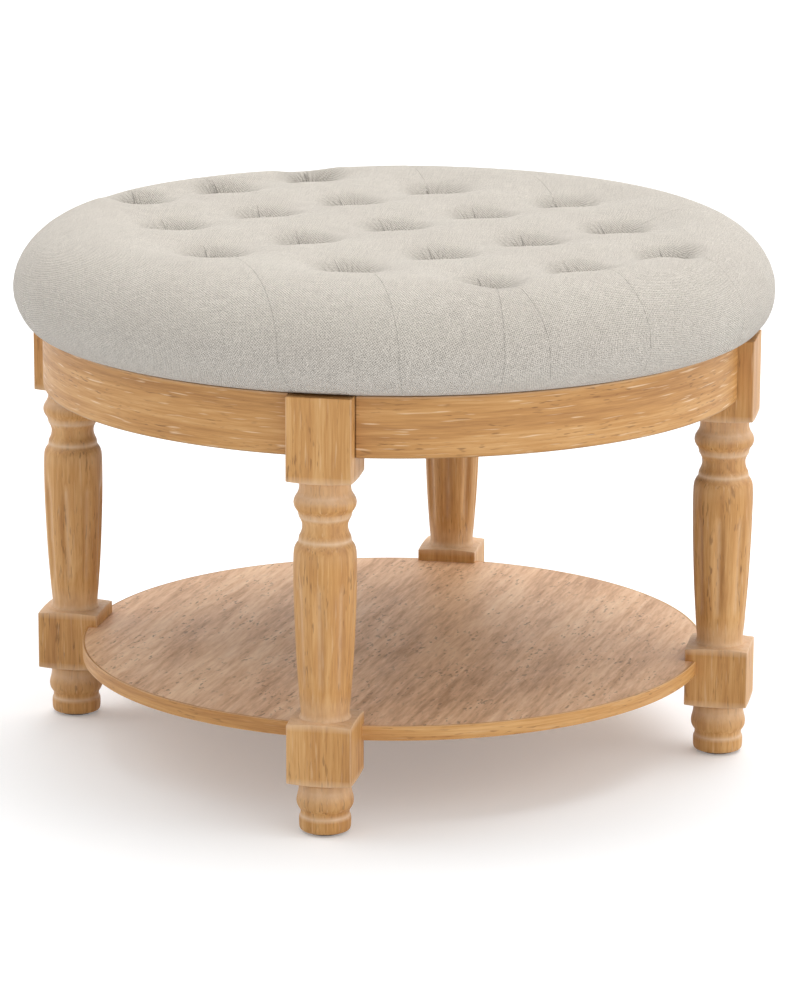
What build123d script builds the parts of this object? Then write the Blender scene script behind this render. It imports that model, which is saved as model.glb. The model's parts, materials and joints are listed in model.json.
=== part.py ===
"""Round tufted ottoman coffee table: upholstered top, four fluted legs and a round shelf.

Millimetres, +Z up, origin on the floor under the centre. The right leg stands on +X,
the back leg on +Y, the left leg on -X and the front leg on -Y.
"""

import os
from math import atan, atan2, cos, degrees, hypot, pi, radians, sin, sqrt, tan

from build123d import *

os.makedirs("parts", exist_ok=True)

# Clearances shared by the joints
glue_clearance = 0.15
cloth_clearance = 0.3
bolt_clearance = 0.3
tie_clearance = 0.6

# Leg layout: four square blanks, turned between their blocks
leg_axis_radius = 300.0
leg_blank = 56.0
frame_height = 384.0
lower_block_bottom = 47.0
lower_block_height = 55.0
upper_block_bottom = 310.0

# Flutes down the leg's shaft
flute_width = 9.0
flute_length = 96.0
flute_point = 16.0
flute_depth = 3.2
flute_bottom = 128.0
flute_lift = 1.0
flute_slope = 40.0

# Curved apron and the loose tenons that join it to the posts
apron_height = 53.0
apron_wall = 18.0
post_reveal = 13.0
tenon_thickness = 8.0
tenon_height = 30.0
tenon_reach = 14.0

# Corner blocks, hanger bolts and the screws that hold the top
block_width = 150.0
block_depth = 22.0
block_height = 40.0
bolt_radius = 4.0
bolt_grip = 24.0
bolt_tail = 4.0
washer_radius = 10.0
washer_thickness = 1.6
nut_radius = 7.5
nut_sides = 6
nut_thickness = 6.5
seat_screw_radius = 2.2
seat_screw_bite = 9.0
seat_screw_offset = 52.0
seat_screw_inset = 18.0
screw_head_radius = 5.0
screw_head_height = 3.0

# Shelf
shelf_thickness = 13.0
shelf_rise = 29.5
shelf_housing = 11.0
shelf_band_width = 2.0

# Upholstered top
cushion_overhang = 14.5
roll_depth = 30.0
roll_height = 30.0
crown_depth = 74.0
crown_height = 65.0
crown_rise = 1.5
hem_width = 26.0
hem_thickness = 3.3
dust_cover_thickness = 0.5
board_thickness = 12.0
foam_wall = 28.0
foam_side_height = 41.0
foam_crown_height = 23.0
foam_crown_depth = 48.0

# Tufts, set on diamonds in rows of three, four, five, four and three
tuft_pitch = 101.0
tuft_row_gap = 126.0
tuft_turn = 50.0
tuft_depth = 30.0
tuft_lift = 3.0
tuft_mouth_radius = 46.0
well_depth = 27.0
well_top_radius = 32.0
well_bottom_radius = 14.0
button_radius = 8.0
button_thickness = 4.0
tie_width = 2.0
anchor_radius = 9.0
anchor_thickness = 2.5

# Glides under the feet
glide_radius = 15.0
glide_thickness = 2.5

# Heights and radii that follow from the driving sizes
half_blank = leg_blank / 2
apron_radius = leg_axis_radius + half_blank - post_reveal
apron_inner_radius = apron_radius - apron_wall
apron_bottom = frame_height - apron_height
joint_height = apron_bottom + apron_height / 2
tenon_radius = sqrt((apron_radius - apron_wall / 2) ** 2 - (half_blank + tenon_reach / 2) ** 2)
block_inner_face = leg_axis_radius - half_blank - block_depth
block_bottom = frame_height - block_height
lower_block_top = lower_block_bottom + lower_block_height
bolt_stand = washer_thickness + nut_thickness + bolt_tail
shelf_bottom = lower_block_bottom + shelf_rise
shelf_radius = leg_axis_radius - half_blank + shelf_housing
cushion_radius = leg_axis_radius + half_blank + cushion_overhang
cushion_widest = frame_height + roll_height
crown_edge = cushion_radius - crown_depth
hem_outer_radius = cushion_radius - roll_depth
hem_inner_radius = hem_outer_radius - hem_width
hem_top = frame_height + hem_thickness
board_bottom = hem_top + cloth_clearance
board_top = board_bottom + board_thickness
foam_radius = cushion_radius - foam_wall
foam_shoulder = board_top + foam_side_height
foam_top = foam_shoulder + foam_crown_height
foam_top_radius = foam_radius - foam_crown_depth
flute_middle = flute_bottom + flute_length / 2

# Numbers of flat sides: the four legs and the hidden round parts are kept light
leg_sides = 24
cushion_sides = 48
tuft_sides = 12
button_sides = 8
well_sides = 6
hardware_sides = 8
small_hole_sides = 6
glide_sides = 12
leg_count = 4
flute_count = 8

# Steps along the cushion's lower roll and along its crown
roll_steps = 3
crown_steps = 5

# Turned outlines, as (share of the section's length, share of half the blank)
foot_shares = [
    (0.00, 0.60),
    (0.05, 0.79),
    (0.20, 0.79),
    (0.34, 0.73),
    (0.50, 0.86),
    (0.66, 0.875),
    (0.78, 0.82),
    (1.00, 0.82),
]
shaft_shares = [
    (0.000, 0.80),
    (0.015, 0.73),
    (0.240, 0.868),
    (0.490, 0.953),
    (0.700, 0.948),
    (0.735, 0.825),
    (0.760, 0.80),
    (0.792, 0.69),
    (0.820, 0.707),
    (0.860, 0.83),
    (0.888, 0.945),
    (0.915, 0.945),
    (0.957, 0.80),
    (1.000, 0.80),
]

# A tuft's funnel from its mouth down, as (share of its depth, share of its mouth's radius)
funnel_shares = [(0.00, 1.00), (0.25, 0.59), (0.52, 0.33), (1.00, 0.20)]

leg_names = ["right_leg", "back_leg", "left_leg", "front_leg"]
apron_names = ["apron_back_right", "apron_back_left", "apron_front_left", "apron_front_right"]
block_names = ["right_corner_block", "back_corner_block", "left_corner_block", "front_corner_block"]


def save(solid, name):
    """Label one finished piece and write it out."""
    solid.label = name
    export_step(solid, f"parts/{name}.step")


def save_quarters(solid, names):
    """Write a piece four times, each a quarter turn further round the table."""
    for number, name in enumerate(names):
        with BuildPart() as turned:
            add(solid, rotation=(0, 0, 90 * number))
        save(turned.part, name)


def polygon_ring(plane, radius, sides, places=((0, 0),)):
    """Regular polygons of one size on one plane."""
    with BuildSketch(plane) as ring:
        with Locations(*places):
            RegularPolygon(radius, sides)
    return ring.sketch


def level_rings(outline, sides, centre=(0, 0)):
    """Polygons stacked along an outline of (radius, height) points."""
    return [
        polygon_ring(Plane.XY.offset(height), radius, sides, [centre])
        for radius, height in outline
    ]


def narrowing_bands(outline, sides):
    """Flat-sided bands through (radius, height) points, none wider than the one below it."""
    for (low_radius, low), (high_radius, high) in zip(outline, outline[1:]):
        draw_in = (low_radius - high_radius) * cos(pi / sides)
        extrude(
            polygon_ring(Plane.XY.offset(low), low_radius, sides),
            amount=high - low,
            taper=degrees(atan2(draw_in, high - low)),
        )


def turned_outline(shares, bottom, top):
    """A turned section's (radius, height) points between two heights."""
    return [
        (half_blank * radius_share, bottom + (top - bottom) * length_share)
        for length_share, radius_share in shares
    ]


def roll_outline():
    """The cushion's drawn-in lower side: (radius, height) points of a quarter circle."""
    points = []
    for step in range(roll_steps + 1):
        angle = radians(90 * step / roll_steps)
        points.append(
            (hem_outer_radius + roll_depth * sin(angle), cushion_widest - roll_height * cos(angle))
        )
    return points


def crown_outline():
    """The cushion's crown: (radius, height) points of a quarter oval and a gentle rise."""
    points = []
    for step in range(crown_steps + 1):
        angle = radians(90 * step / crown_steps)
        points.append(
            (crown_edge + crown_depth * cos(angle), cushion_widest + crown_height * sin(angle))
        )
    points.append((crown_edge / 2, cushion_widest + crown_height + crown_rise))
    return points


def crown_at(radius):
    """Height of the crown at a distance from the centre, and how far it leans outward."""
    share = max(radius - crown_edge, 0) / crown_depth
    rise = sqrt(1 - share ** 2)
    lean = degrees(atan(crown_height / crown_depth * share / rise))
    return cushion_widest + crown_height * rise, lean


def tuft_places():
    """Plan position of each tuft, row by row."""
    places = []
    for row in range(-2, 3):
        row_count = 5 - abs(row)
        for number in range(row_count):
            place = Vector(tuft_pitch * (number - (row_count - 1) / 2), tuft_row_gap * row)
            place = place.rotate(Axis.Z, tuft_turn)
            places.append((place.X, place.Y))
    return places


def button_plane(place):
    """Plane under a tuft's button, square to the crown above it."""
    x, y = place
    height, lean = crown_at(hypot(x, y))
    outward = Vector(x, y).normalized() if lean else Vector(1, 0)
    upright = outward * sin(radians(lean)) + Vector(0, 0, cos(radians(lean)))
    return Plane((x, y, height - tuft_depth * cos(radians(lean))), z_dir=upright)


def downward(plane):
    """The same plane seen from below, so that what is placed on it hangs down."""
    return Plane(plane.origin, x_dir=plane.x_dir, z_dir=-plane.z_dir)


tufts = tuft_places()
tenon_floor = Plane.XY.offset(joint_height - tenon_height / 2)
bolt_plane = Plane((block_inner_face, 0, joint_height), x_dir=(0, 1, 0), z_dir=(1, 0, 0))
seat_screw_places = [(block_inner_face + seat_screw_inset, seat_screw_offset)]
shaft_outline = turned_outline(shaft_shares, lower_block_top, upper_block_bottom)

# Mortises for one leg's two loose tenons, with room for glue
with BuildPart() as mortise_pair:
    with BuildSketch(tenon_floor.offset(-glue_clearance)):
        with Locations((tenon_radius, half_blank), (tenon_radius, -half_blank)):
            Rectangle(tenon_thickness + 2 * glue_clearance, 2 * (tenon_reach + glue_clearance))
    extrude(amount=tenon_height + 2 * glue_clearance)

# One flute, pointed at both ends and leaning with the shaft's taper
(taper_low_radius, taper_low), (taper_high_radius, taper_high) = shaft_outline[2:4]
flute_lean = atan((taper_high_radius - taper_low_radius) / (taper_high - taper_low))
flute_surface = taper_low_radius + (flute_middle - taper_low) * tan(flute_lean)
with BuildPart() as flute:
    with BuildSketch():
        with BuildLine():
            Polyline(
                (flute_length / 2 - flute_point, flute_width / 2),
                (flute_point - flute_length / 2, flute_width / 2),
                (-flute_length / 2, 0),
                (flute_point - flute_length / 2, -flute_width / 2),
                (flute_length / 2 - flute_point, -flute_width / 2),
                (flute_length / 2, 0),
                close=True,
            )
        make_face()
    extrude(amount=flute_depth, taper=flute_slope)
flute_place = Plane(
    (flute_surface + flute_lift, 0, flute_middle),
    x_dir=(sin(flute_lean), 0, cos(flute_lean)),
    z_dir=(-cos(flute_lean), 0, sin(flute_lean)),
)

# Leg on +X: turned foot, shelf block, fluted shaft and square post
with BuildPart() as leg:
    foot_outline = turned_outline(foot_shares, glide_thickness, lower_block_bottom)
    loft(level_rings(foot_outline, leg_sides, (leg_axis_radius, 0)), ruled=True)
    loft(level_rings(shaft_outline, leg_sides, (leg_axis_radius, 0)), ruled=True)
    with Locations((leg_axis_radius, 0)):
        with PolarLocations(0, flute_count):
            with Locations(flute_place.location):
                add(flute.part, mode=Mode.SUBTRACT)
    with BuildSketch(Plane.XY.offset(lower_block_bottom)):
        with Locations((leg_axis_radius, 0)):
            Rectangle(leg_blank, leg_blank)
    extrude(amount=lower_block_height)
    with BuildSketch(Plane.XY.offset(upper_block_bottom)):
        with Locations((leg_axis_radius, 0)):
            Rectangle(leg_blank, leg_blank)
    extrude(amount=frame_height - upper_block_bottom)
    # Housing for the shelf's edge
    with BuildSketch(Plane.XY.offset(shelf_bottom - glue_clearance)):
        Circle(shelf_radius + glue_clearance)
    extrude(amount=shelf_thickness + 2 * glue_clearance, mode=Mode.SUBTRACT)
    add(mortise_pair.part, mode=Mode.SUBTRACT)
    # Blind hole for the hanger bolt
    extrude(
        polygon_ring(bolt_plane, bolt_radius + bolt_clearance, hardware_sides),
        amount=block_depth + bolt_grip + bolt_clearance,
        mode=Mode.SUBTRACT,
    )
save_quarters(leg.part, leg_names)

# Curved apron segment between the right and the back post
with BuildPart() as apron:
    with BuildSketch(Plane.XY.offset(apron_bottom)):
        Circle(apron_radius)
        Circle(apron_inner_radius, mode=Mode.SUBTRACT)
        with Locations((half_blank, half_blank)):
            Rectangle(
                apron_radius, apron_radius, align=(Align.MIN, Align.MIN), mode=Mode.INTERSECT
            )
    extrude(amount=apron_height)
    with PolarLocations(0, leg_count):
        add(mortise_pair.part, mode=Mode.SUBTRACT)
save_quarters(apron.part, apron_names)

# Loose tenons, half in the post and half in the apron
with BuildPart() as tenon_pair:
    with BuildSketch(tenon_floor):
        with Locations((tenon_radius, half_blank), (tenon_radius, -half_blank)):
            Rectangle(tenon_thickness, 2 * tenon_reach)
    extrude(amount=tenon_height)
with BuildPart() as apron_tenons:
    with PolarLocations(0, leg_count):
        add(tenon_pair.part)
save(apron_tenons.part, "apron_tenons")

# Corner block behind the post on +X, fitted to the curve of the aprons
with BuildPart() as corner_block:
    with BuildSketch(Plane.XY.offset(block_bottom)):
        with Locations((block_inner_face, 0)):
            Rectangle(leg_blank, block_width, align=(Align.MIN, Align.CENTER))
        Circle(apron_inner_radius - glue_clearance, mode=Mode.INTERSECT)
        with Locations((leg_axis_radius, 0)):
            Rectangle(
                leg_blank + 2 * glue_clearance, leg_blank + 2 * glue_clearance, mode=Mode.SUBTRACT
            )
    extrude(amount=block_height)
    extrude(
        polygon_ring(bolt_plane, bolt_radius + bolt_clearance, hardware_sides),
        amount=block_depth,
        mode=Mode.SUBTRACT,
    )
    extrude(
        polygon_ring(
            Plane.XY.offset(block_bottom),
            seat_screw_radius + bolt_clearance,
            small_hole_sides,
            seat_screw_places,
        ),
        amount=block_height,
        mode=Mode.SUBTRACT,
    )
save_quarters(corner_block.part, block_names)

# Hanger bolts out of the posts, with their washers and nuts
with BuildPart() as hanger_bolt:
    extrude(
        polygon_ring(bolt_plane.offset(-bolt_stand), bolt_radius, hardware_sides),
        amount=bolt_stand + block_depth + bolt_grip,
    )
with BuildPart() as hanger_bolts:
    with PolarLocations(0, leg_count):
        add(hanger_bolt.part)
save(hanger_bolts.part, "hanger_bolts")

with BuildPart() as washer:
    with BuildSketch(bolt_plane.offset(-washer_thickness)):
        RegularPolygon(washer_radius, hardware_sides)
        RegularPolygon(bolt_radius + bolt_clearance, hardware_sides, mode=Mode.SUBTRACT)
    extrude(amount=washer_thickness)
with BuildPart() as bolt_washers:
    with PolarLocations(0, leg_count):
        add(washer.part)
save(bolt_washers.part, "bolt_washers")

with BuildPart() as nut:
    with BuildSketch(bolt_plane.offset(-washer_thickness - nut_thickness)):
        RegularPolygon(nut_radius, nut_sides)
        RegularPolygon(bolt_radius + bolt_clearance, hardware_sides, mode=Mode.SUBTRACT)
    extrude(amount=nut_thickness)
with BuildPart() as bolt_nuts:
    with PolarLocations(0, leg_count):
        add(nut.part)
save(bolt_nuts.part, "bolt_nuts")

# Long screw up through each corner block into the seat board
with BuildPart() as seat_screw:
    extrude(
        polygon_ring(
            Plane.XY.offset(block_bottom - screw_head_height),
            screw_head_radius,
            hardware_sides,
            seat_screw_places,
        ),
        amount=screw_head_height,
    )
    extrude(
        polygon_ring(
            Plane.XY.offset(block_bottom), seat_screw_radius, small_hole_sides, seat_screw_places
        ),
        amount=board_bottom + seat_screw_bite - block_bottom,
    )
with BuildPart() as seat_screws:
    with PolarLocations(0, leg_count):
        add(seat_screw.part)
save(seat_screws.part, "seat_screws")

# Round shelf: a flat panel with a thin band of solid wood round its edge
with BuildPart() as shelf_panel:
    with BuildSketch(Plane.XY.offset(shelf_bottom)):
        Circle(shelf_radius - shelf_band_width - glue_clearance)
    extrude(amount=shelf_thickness)
save(shelf_panel.part, "shelf_panel")

with BuildPart() as shelf_edge_band:
    with BuildSketch(Plane.XY.offset(shelf_bottom)):
        Circle(shelf_radius)
        Circle(shelf_radius - shelf_band_width, mode=Mode.SUBTRACT)
    extrude(amount=shelf_thickness)
save(shelf_edge_band.part, "shelf_edge_band")

# Glides under the four feet
with BuildPart() as foot_glides:
    with BuildSketch():
        with PolarLocations(leg_axis_radius, leg_count):
            RegularPolygon(glide_radius, glide_sides)
    extrude(amount=glide_thickness)
save(foot_glides.part, "foot_glides")

# Holes for the ties and the seat screws, cut through what lies above the frame
with BuildPart() as tie_holes:
    extrude(
        polygon_ring(Plane.XY.offset(frame_height), tie_width + tie_clearance, small_hole_sides, tufts),
        amount=cushion_widest + crown_height - tuft_depth - frame_height,
    )
with BuildPart() as screw_hole:
    extrude(
        polygon_ring(
            Plane.XY.offset(frame_height),
            seat_screw_radius + bolt_clearance,
            small_hole_sides,
            seat_screw_places,
        ),
        amount=board_bottom + seat_screw_bite + bolt_clearance - frame_height,
    )

# Board that carries the padding
with BuildPart() as seat_board:
    extrude(
        polygon_ring(
            Plane.XY.offset(board_bottom), foam_radius - cloth_clearance, cushion_sides
        ),
        amount=board_thickness,
    )
    add(tie_holes.part, mode=Mode.SUBTRACT)
    with PolarLocations(0, leg_count):
        add(screw_hole.part, mode=Mode.SUBTRACT)
save(seat_board.part, "seat_board")

# A tuft's well in the foam, from its mouth down, and the plug of wadding that fits it
with BuildPart() as well:
    narrowing_bands([(well_top_radius, 0), (well_bottom_radius, well_depth)], well_sides)
with BuildPart() as well_plug:
    narrowing_bands(
        [
            (well_top_radius - cloth_clearance, 0),
            (well_bottom_radius - cloth_clearance, well_depth),
        ],
        well_sides,
    )

# Foam pad with a well under each tuft
with BuildPart() as foam_pad:
    narrowing_bands(
        [
            (foam_radius - cloth_clearance, board_top),
            (foam_radius - cloth_clearance, foam_shoulder),
            (foam_top_radius - cloth_clearance, foam_top),
        ],
        cushion_sides,
    )
    for tuft in tufts:
        with Locations(downward(Plane((*tuft, foam_top))).location):
            add(well.part, mode=Mode.SUBTRACT)
    add(tie_holes.part, mode=Mode.SUBTRACT)
save(foam_pad.part, "foam_pad")

# Room inside the cover for the board and the foam, less the plugs
with BuildPart() as cover_room:
    narrowing_bands(
        [
            (foam_radius, hem_top),
            (foam_radius, foam_shoulder + cloth_clearance),
            (foam_top_radius, foam_top + cloth_clearance),
        ],
        cushion_sides,
    )
    for tuft in tufts:
        with Locations(downward(Plane((*tuft, foam_top + cloth_clearance))).location):
            add(well_plug.part, mode=Mode.SUBTRACT)

# A tuft's funnel, from its mouth down to its button
with BuildPart() as funnel:
    narrowing_bands(
        [
            (tuft_mouth_radius * radius_share, (tuft_depth + tuft_lift) * depth_share)
            for depth_share, radius_share in funnel_shares
        ],
        tuft_sides,
    )

# Linen cover with its wadding: crowned, drawn in at the hem and pulled down at each tuft
with BuildPart() as cushion_cover:
    loft(level_rings(roll_outline(), cushion_sides), ruled=True)
    narrowing_bands(crown_outline(), cushion_sides)
    for tuft in tufts:
        mouth = button_plane(tuft).offset(tuft_depth + tuft_lift)
        with Locations(downward(mouth).location):
            add(funnel.part, mode=Mode.SUBTRACT)
    add(cover_room.part, mode=Mode.SUBTRACT)
    extrude(
        polygon_ring(Plane.XY.offset(frame_height), hem_inner_radius, cushion_sides),
        amount=hem_thickness,
        mode=Mode.SUBTRACT,
    )
    add(tie_holes.part, mode=Mode.SUBTRACT)
save(cushion_cover.part, "cushion_cover")

# Button at the bottom of each tuft
with BuildPart() as tuft_buttons:
    for tuft in tufts:
        extrude(
            polygon_ring(button_plane(tuft), button_radius, button_sides), amount=button_thickness
        )
save(tuft_buttons.part, "tuft_buttons")

# Tie from each button down to an anchor under the board
with BuildPart() as tuft_ties:
    for tuft in tufts:
        with BuildSketch(Plane.XY.offset(board_bottom)):
            with Locations(tuft):
                Rectangle(tie_width, tie_width)
        extrude(amount=button_plane(tuft).origin.Z - tie_clearance - board_bottom)
save(tuft_ties.part, "tuft_ties")

with BuildPart() as tuft_anchors:
    extrude(
        polygon_ring(
            Plane.XY.offset(board_bottom - anchor_thickness), anchor_radius, well_sides, tufts
        ),
        amount=anchor_thickness,
    )
save(tuft_anchors.part, "tuft_anchors")

# Dust cover inside the hem
with BuildPart() as dust_cover:
    extrude(
        polygon_ring(
            Plane.XY.offset(frame_height), hem_inner_radius - cloth_clearance, cushion_sides
        ),
        amount=dust_cover_thickness,
    )
    with PolarLocations(0, leg_count):
        add(screw_hole.part, mode=Mode.SUBTRACT)
save(dust_cover.part, "dust_cover")
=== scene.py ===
# %% [markdown]
# Ottoman coffee table. A round linen cushion, tufted with nineteen deep buttons, sits on a
# curved wooden apron between four turned legs, and a round shelf hangs in the legs' lower
# blocks. The CAD model is loaded first and gives every size and place, so each new piece is
# built straight onto it and nothing has to be fitted by eye.

# %% Load the frame
import json
import math

import bmesh
import bpy
import numpy as np
from mathutils import Matrix, Vector

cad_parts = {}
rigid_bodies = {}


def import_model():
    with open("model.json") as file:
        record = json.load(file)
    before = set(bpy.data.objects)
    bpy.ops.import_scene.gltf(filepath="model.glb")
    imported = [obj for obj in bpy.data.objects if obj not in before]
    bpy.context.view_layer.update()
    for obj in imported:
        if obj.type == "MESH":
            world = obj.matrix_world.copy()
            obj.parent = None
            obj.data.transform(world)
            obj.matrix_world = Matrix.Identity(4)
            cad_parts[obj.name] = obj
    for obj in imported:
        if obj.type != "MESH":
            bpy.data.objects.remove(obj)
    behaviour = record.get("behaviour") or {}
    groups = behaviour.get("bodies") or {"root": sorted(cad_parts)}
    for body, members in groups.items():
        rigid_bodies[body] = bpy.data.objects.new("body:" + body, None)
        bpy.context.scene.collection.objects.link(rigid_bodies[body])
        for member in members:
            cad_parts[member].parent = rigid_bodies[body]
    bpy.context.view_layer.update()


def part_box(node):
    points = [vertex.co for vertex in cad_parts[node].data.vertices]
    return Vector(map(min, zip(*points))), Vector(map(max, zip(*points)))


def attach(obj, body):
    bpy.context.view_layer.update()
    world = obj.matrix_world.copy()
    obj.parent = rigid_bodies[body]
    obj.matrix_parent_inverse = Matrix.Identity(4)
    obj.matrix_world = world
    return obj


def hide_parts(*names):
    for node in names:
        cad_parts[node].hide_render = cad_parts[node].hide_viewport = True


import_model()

MM = 0.001
scene = bpy.context.scene

# %% [markdown]
# The photograph was taken with a long lens from a little above the cushion. A camera could be
# dragged about until the picture fits, but it is easier to keep right when it is built from its
# own three directions: where it looks, its right and its up. The numbers come from fitting the
# rims of the shelf, the apron and the feet.

# %% Camera
CAMERA_DISTANCE = 3.80
CAMERA_HEIGHT = 1.1623
CAMERA_AZIMUTH = math.radians(10.98)
CAMERA_PITCH = math.radians(13.96)
CAMERA_ROLL = math.radians(0.22)
CAMERA_LENS = 155.34
CAMERA_SENSOR = 36
CAMERA_SHIFT = 0.0066


def camera_matrix():
    """Place and direction of the photograph's camera."""
    place = Vector((
        CAMERA_DISTANCE * math.sin(CAMERA_AZIMUTH),
        -CAMERA_DISTANCE * math.cos(CAMERA_AZIMUTH),
        CAMERA_HEIGHT,
    ))
    ahead = Vector((
        -math.sin(CAMERA_AZIMUTH) * math.cos(CAMERA_PITCH),
        math.cos(CAMERA_AZIMUTH) * math.cos(CAMERA_PITCH),
        -math.sin(CAMERA_PITCH),
    ))
    level_right = Vector((math.cos(CAMERA_AZIMUTH), math.sin(CAMERA_AZIMUTH), 0))
    level_up = level_right.cross(ahead)
    right = math.cos(CAMERA_ROLL) * level_right + math.sin(CAMERA_ROLL) * level_up
    up = math.cos(CAMERA_ROLL) * level_up - math.sin(CAMERA_ROLL) * level_right
    turn = Matrix((right, up, -ahead)).transposed()
    return Matrix.Translation(place) @ turn.to_4x4()


camera = bpy.data.objects.new("photo_camera", bpy.data.cameras.new("photo_camera"))
camera.data.lens = CAMERA_LENS
camera.data.sensor_width = CAMERA_SENSOR
camera.data.shift_x = CAMERA_SHIFT
camera.matrix_world = camera_matrix()
scene.collection.objects.link(camera)
scene.camera = camera
print("Camera at", [round(v, 3) for v in camera.matrix_world.translation])

# %% [markdown]
# The sky, the floor and every finish are small networks of nodes. They could be wired up one
# node at a time, but a few helpers keep them readable: one adds a node and fills its sockets,
# and others do arithmetic on patterns, stretch them and turn them into chosen colours.


# %% Node helpers
def new_paint(name):
    """An empty material: the material, its tree and its Principled shader."""
    paint = bpy.data.materials.new(name)
    paint.use_nodes = True
    return paint, paint.node_tree, paint.node_tree.nodes["Principled BSDF"]


def fill(tree, socket, value):
    """Gives a socket another node's output, or a plain value."""
    if isinstance(value, bpy.types.NodeSocket):
        tree.links.new(value, socket)
    else:
        socket.default_value = value


def put(tree, kind, settings=None, **sockets):
    """Adds a node. Sockets go by name, with _ for a space, or by number, as in _0."""
    node = tree.nodes.new(kind)
    for key, value in (settings or {}).items():
        setattr(node, key, value)
    for key, value in sockets.items():
        number = key[1:]
        fill(tree, node.inputs[int(number) if number.isdigit() else key.replace("_", " ")], value)
    return node


def sums(tree, operation, first, second=0.0):
    """Arithmetic on two grey patterns or numbers."""
    return put(tree, "ShaderNodeMath", {"operation": operation}, _0=first, _1=second).outputs[0]


def times(tree, first, *others):
    """Grey patterns and numbers multiplied."""
    for other in others:
        first = sums(tree, "MULTIPLY", first, other)
    return first


def weighted(tree, first, *others):
    """(pattern, share) pairs added up, each pattern times its share."""
    total = times(tree, *first)
    for pattern, share in others:
        total = sums(tree, "ADD", total, times(tree, pattern, share))
    return total


print("Node helpers ready, in Blender", bpy.app.version_string)


# %% Pattern helpers
def object_places(tree):
    """Coordinates in the piece's own space, in metres."""
    return put(tree, "ShaderNodeTexCoord").outputs["Object"]


def stretched(tree, coordinates, scale, turn=0.0, move=(0, 0, 0)):
    """Coordinates turned about Z and moved, then scaled."""
    turned = put(
        tree, "ShaderNodeMapping", Vector=coordinates, Rotation=(0, 0, turn), Location=move
    )
    return put(tree, "ShaderNodeMapping", Vector=turned.outputs[0], Scale=scale).outputs[0]


def noise(tree, coordinates, scale, detail=3.0, roughness=0.5):
    """A grey noise pattern."""
    return put(
        tree, "ShaderNodeTexNoise", Vector=coordinates, Scale=scale, Detail=detail,
        Roughness=roughness,
    ).outputs["Fac"]


def attribute(tree, name, output="Fac"):
    """A number or vector kept on the mesh, such as how worn each place is."""
    return put(tree, "ShaderNodeAttribute", {"attribute_name": name}).outputs[output]


def level(tree, grey, low, high, to_low=0.0, to_high=1.0):
    """A grey pattern stretched between two values and held there."""
    return put(
        tree, "ShaderNodeMapRange", {"clamp": True}, Value=grey, From_Min=low, From_Max=high,
        To_Min=to_low, To_Max=to_high,
    ).outputs["Result"]


print("Pattern helpers ready")


# %% Colour helpers
def toned(colour, share):
    """A colour made darker or lighter."""
    return tuple(part * share for part in colour)


def ramp(tree, grey, stops):
    """A grey pattern recoloured through (place, colour) stops."""
    node = put(tree, "ShaderNodeValToRGB", Fac=grey)
    row = node.color_ramp.elements
    while len(row) < len(stops):
        row.new(0.5)
    for element, (place, colour) in zip(row, stops):
        element.position = place
        element.color = (*colour, 1)
    return node.outputs["Color"]


def covered(tree, colour, amount, plain):
    """A coloured pattern with a plain colour laid over it by an amount."""
    return put(
        tree, "ShaderNodeMix", {"data_type": "RGBA"}, _0=amount, _6=colour, _7=(*plain, 1)
    ).outputs[2]


def finish_paint(tree, shader, colour, rough, height, strength, depth):
    """Gives a shader its colour, its roughness and a bump of some depth in metres."""
    bump = put(tree, "ShaderNodeBump", Height=height, Strength=strength, Distance=depth)
    fill(tree, shader.inputs["Base Color"], colour)
    fill(tree, shader.inputs["Roughness"], rough)
    fill(tree, shader.inputs["Normal"], bump.outputs[0])


print("Colour helpers ready")

# %% [markdown]
# The studio is a white floor under a pale sky. A photographer would use a paper sweep. Here a
# flat floor does, because it can glow a little to the camera alone, so that it melts into the
# white background and still keeps the grey shadow under the table. The sky does the same trick:
# it lights the table softly, but the camera sees it as plain white.

# %% Sky
SKY_LEVEL = 0.60
SKY_TINT = (1.0, 0.965, 0.93)


def ray_kind(tree):
    """One where a camera, glossy or transmission ray looks, zero elsewhere."""
    path = put(tree, "ShaderNodeLightPath").outputs
    mirrored = sums(tree, "MAXIMUM", path["Is Glossy Ray"], path["Is Transmission Ray"])
    return sums(tree, "MAXIMUM", path["Is Camera Ray"], mirrored)


def make_sky():
    """A world that lights softly and shows as white."""
    world = bpy.data.worlds.new("studio_sky")
    scene.world = world
    world.use_nodes = True
    tree = world.node_tree
    tree.nodes.clear()
    lit = put(tree, "ShaderNodeBackground", Color=(*SKY_TINT, 1), Strength=SKY_LEVEL)
    seen = put(tree, "ShaderNodeBackground", Color=(1, 1, 1, 1), Strength=1)
    mix = put(
        tree, "ShaderNodeMixShader", _0=ray_kind(tree), _1=lit.outputs[0], _2=seen.outputs[0]
    )
    put(tree, "ShaderNodeOutputWorld", Surface=mix.outputs[0])


make_sky()
print("Sky strength", SKY_LEVEL)

# %% Floor
FLOOR_COLOUR = (0.82, 0.84, 0.865)
FLOOR_GLOW = 0.20
FLOOR_REACH = 20


def floor_paint():
    """A dull white that glows a little to the camera."""
    paint, tree, shader = new_paint("floor_white")
    shader.inputs["Base Color"].default_value = (*FLOOR_COLOUR, 1)
    shader.inputs["Roughness"].default_value = 0.9
    shader.inputs["Specular IOR Level"].default_value = 0.0
    glow = put(tree, "ShaderNodeEmission", Strength=FLOOR_GLOW)
    both = put(tree, "ShaderNodeAddShader", _0=shader.outputs[0], _1=glow.outputs[0])
    mix = put(
        tree, "ShaderNodeMixShader", _0=ray_kind(tree), _1=shader.outputs[0], _2=both.outputs[0]
    )
    fill(tree, tree.nodes["Material Output"].inputs["Surface"], mix.outputs[0])
    return paint


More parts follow.
